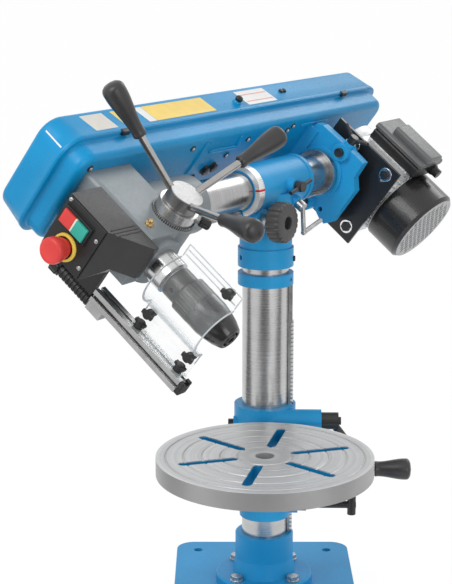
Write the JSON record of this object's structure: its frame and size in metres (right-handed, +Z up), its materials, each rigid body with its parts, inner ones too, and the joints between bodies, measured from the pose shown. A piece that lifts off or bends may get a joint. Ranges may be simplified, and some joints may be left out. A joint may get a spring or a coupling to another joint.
{
  "type": "radial bench drill press",
  "caption": "Radial bench drill press with tilting head on a sliding ram, belt guard and motor, round rack-lift table on a steel column, swing-away chuck guard and cast base",
  "frame": {"origin": "on the bench plane, on the column axis", "axes": "+Z up along the column, -Y from the column to the table at rest, +X to the crank side"},
  "size_m": [0.6584, 0.8628, 0.8569],
  "materials": {
    "blue_paint": "semi-gloss enamel on castings",
    "blue_sheet": "semi-gloss powder coat on sheet",
    "bright_steel": "ground and polished",
    "steel": "machined, lightly oiled",
    "ground_iron": "fine turned and ground",
    "grey_paint": "satin grey enamel",
    "black_metal": "satin black",
    "black_plastic": "fine moulded grain",
    "grip": "smooth moulded grip",
    "red_plastic": "gloss red",
    "green_plastic": "gloss green",
    "dark_oxide": "black oxide",
    "chrome": "bright plated",
    "aluminium": "as machined and die cast",
    "belt_rubber": "fabric covered rubber",
    "clear": null
  },
  "bodies": {
    "base": {"base": "blue_paint", "column_flange": "blue_paint", "flange_bolts": "steel", "column": "bright_steel", "rack_ring": "blue_paint"},
    "rack": {"column_rack": "steel"},
    "bracket": {"table_bracket": "blue_paint"},
    "lift_gear": {"lift_pinion": "steel"},
    "crank": {"lift_crank": "black_metal", "crank_grip": "grip"},
    "bracket_lock": {"bracket_lock": "black_metal"},
    "table": {"table": "ground_iron"},
    "table_lock": {"table_lock": "black_metal"},
    "arm": {"arm_casting": "blue_paint"},
    "ram_lock": {"ram_lock": "black_metal"},
    "tilt_lock": {"tilt_lock": "steel"},
    "ram_drive": {"ram_pinion": "steel", "ram_knob": "grip"},
    "carriage": {"ram_rack": "steel"},
    "head": {"ram": "bright_steel", "ram_collars": "steel", "head_casting": "grey_paint", "switch_box": "black_plastic", "switch_panel": "black_plastic", "spring_cap": "black_metal", "return_spring": "steel", "belt_pan": "blue_sheet", "pan_screws": "steel", "motor_bracket": "blue_paint", "pulley_bearing": "steel", "guard_pivot": "black_plastic", "drive_belt": "belt_rubber"},
    "lid": {"belt_lid": "blue_sheet"},
    "wing_bolt": {"wing_bolt": "black_metal"},
    "start": {"start_button": "green_plastic"},
    "stop": {"stop_button": "red_plastic"},
    "estop": {"estop_button": "red_plastic"},
    "feed": {"feed_shaft": "chrome", "depth_ring": "black_plastic", "feed_levers": "chrome", "feed_grips": "grip"},
    "quill": {"quill": "bright_steel", "quill_bearings": "steel"},
    "spindle": {"spindle": "bright_steel", "chuck_body": "dark_oxide", "chuck_nose": "dark_oxide", "chuck_jaws": "steel"},
    "pulley": {"spindle_pulley": "aluminium"},
    "motor": {"motor_plate": "black_metal", "motor_body": "aluminium", "fan_cowl": "black_metal", "terminal_box": "black_plastic", "motor_bearings": "steel"},
    "rotor": {"motor_shaft": "steel", "motor_fan": "black_plastic", "motor_pulley": "aluminium"},
    "guard_arm": {"guard_profile": "aluminium"},
    "guard": {"guard_clamp": "black_plastic", "guard_shield": "clear"}
  },
  "joints": [
    {"name": "table_swing", "type": "hinge", "parent": "base", "child": "rack", "pos_m": [0, 0, 0.3], "axis": [0, 0, 1], "range_deg": [-120, 120]},
    {"name": "table_lift", "type": "slide", "parent": "rack", "child": "bracket", "axis": [0, 0, 1], "range_m": [-0.095, 0.03]},
    {"name": "lift_gear_turn", "type": "hinge", "parent": "bracket", "child": "lift_gear", "pos_m": [0.05339, -0.00128, 0.286], "axis": [0.0239, 0.9997, 0], "range_deg": [-145, 455]},
    {"name": "crank_turn", "type": "hinge", "parent": "bracket", "child": "crank", "pos_m": [0.09925, -0.03238, 0.311], "axis": [0.9997, -0.0239, 0], "range_deg": [-9073, 2866]},
    {"name": "bracket_lock_turn", "type": "hinge", "parent": "bracket", "child": "bracket_lock", "pos_m": [-0.05032, -0.0128, 0.299], "axis": [-0.9997, 0.0239, 0], "range_deg": [-30, 30]},
    {"name": "table_turn", "type": "hinge", "parent": "bracket", "child": "table", "pos_m": [-0.0055, -0.22993, 0.3], "axis": [0, 0, 1], "continuous": true},
    {"name": "table_lock_turn", "type": "hinge", "parent": "bracket", "child": "table_lock", "pos_m": [0.05448, -0.23137, 0.252], "axis": [0.9997, -0.0239, 0], "range_deg": [-60, 60]},
    {"name": "arm_swing", "type": "hinge", "parent": "base", "child": "arm", "pos_m": [0, 0, 0.6], "axis": [0, 0, 1], "range_deg": [-150, 150]},
    {"name": "ram_lock_turn", "type": "hinge", "parent": "arm", "child": "ram_lock", "pos_m": [0.03987, -0.01242, 0.668], "axis": [0.829, -0.5592, 0], "range_deg": [-40, 40]},
    {"name": "tilt_lock_turn", "type": "hinge", "parent": "arm", "child": "tilt_lock", "pos_m": [0.01454, 0.02156, 0.668], "axis": [0.6791, -0.4581, -0.5736], "range_deg": [-25, 25]},
    {"name": "ram_slide", "type": "slide", "parent": "arm", "child": "carriage", "axis": [0.5592, 0.829, 0], "range_m": [-0.05, 0.085]},
    {"name": "ram_knob_turn", "type": "hinge", "parent": "arm", "child": "ram_drive", "pos_m": [-0.02572, -0.03814, 0.6236], "axis": [0.829, -0.5592, 0], "range_deg": [-489, 288]},
    {"name": "head_tilt", "type": "hinge", "parent": "carriage", "child": "head", "pos_m": [0, 0, 0.668], "axis": [-0.5592, -0.829, 0], "range_deg": [-52.5, 37.5]},
    {"name": "lid_open", "type": "hinge", "parent": "head", "child": "lid", "pos_m": [-0.10765, 0.07261, 0.64663], "axis": [-0.5592, -0.829, 0], "range_deg": [0, 100]},
    {"name": "wing_bolt_turn", "type": "hinge", "parent": "head", "child": "wing_bolt", "pos_m": [0.12765, 0.1069, 0.7083], "axis": [0.5047, -0.3404, 0.7934], "range_deg": [-30, 30]},
    {"name": "start_press", "type": "slide", "parent": "head", "child": "start", "axis": [0.5592, 0.829, 0], "range_m": [0, 0.003], "stiffness_N_per_m": 400, "springref_m": -0.003},
    {"name": "stop_press", "type": "slide", "parent": "head", "child": "stop", "axis": [0.5592, 0.829, 0], "range_m": [0, 0.003], "stiffness_N_per_m": 400, "springref_m": -0.003},
    {"name": "estop_press", "type": "slide", "parent": "head", "child": "estop", "axis": [0.5592, 0.829, 0], "range_m": [0, 0.004]},
    {"name": "quill_feed", "type": "slide", "parent": "head", "child": "quill", "axis": [0.6577, -0.4436, -0.6088], "range_m": [0, 0.07], "stiffness_N_per_m": 200, "springref_m": -0.28},
    {"name": "feed_turn", "type": "hinge", "parent": "head", "child": "feed", "pos_m": [-0.15098, -0.28343, 0.64243], "axis": [0.5047, -0.3404, 0.7934], "range_deg": [-1, 288]},
    {"name": "spindle_turn", "type": "hinge", "parent": "quill", "child": "spindle", "pos_m": [-0.19907, -0.29514, 0.668], "axis": [0.6577, -0.4436, -0.6088], "continuous": true},
    {"name": "pulley_turn", "type": "hinge", "parent": "head", "child": "pulley", "pos_m": [-0.25827, -0.25521, 0.72279], "axis": [0.6577, -0.4436, -0.6088], "continuous": true},
    {"name": "belt_tension", "type": "slide", "parent": "head", "child": "motor", "axis": [0.5592, 0.829, 0], "range_m": [-0.008, 0.012], "deforming": ["drive_belt"]},
    {"name": "rotor_turn", "type": "hinge", "parent": "motor", "child": "rotor", "pos_m": [0.15098, 0.22384, 0.668], "axis": [0.6577, -0.4436, -0.6088], "continuous": true},
    {"name": "guard_swing", "type": "hinge", "parent": "head", "child": "guard_arm", "pos_m": [-0.22689, -0.30653, 0.55098], "axis": [-0.6577, 0.4436, 0.6088], "range_deg": [-100, 0]},
    {"name": "guard_height", "type": "slide", "parent": "guard_arm", "child": "guard", "axis": [0.6577, -0.4436, -0.6088], "range_m": [0, 0.025]}
  ],
  "couplings": [
    {"joint": "lift_gear_turn", "follows": "table_lift", "rad_per_m": -83.333},
    {"joint": "crank_turn", "follows": "table_lift", "rad_per_m": 1666.7},
    {"joint": "ram_knob_turn", "follows": "ram_slide", "rad_per_m": -100},
    {"joint": "feed_turn", "follows": "quill_feed", "rad_per_m": 71.429},
    {"joint": "pulley_turn", "follows": "spindle_turn", "ratio": 1},
    {"joint": "rotor_turn", "follows": "spindle_turn", "ratio": 1}
  ]
}
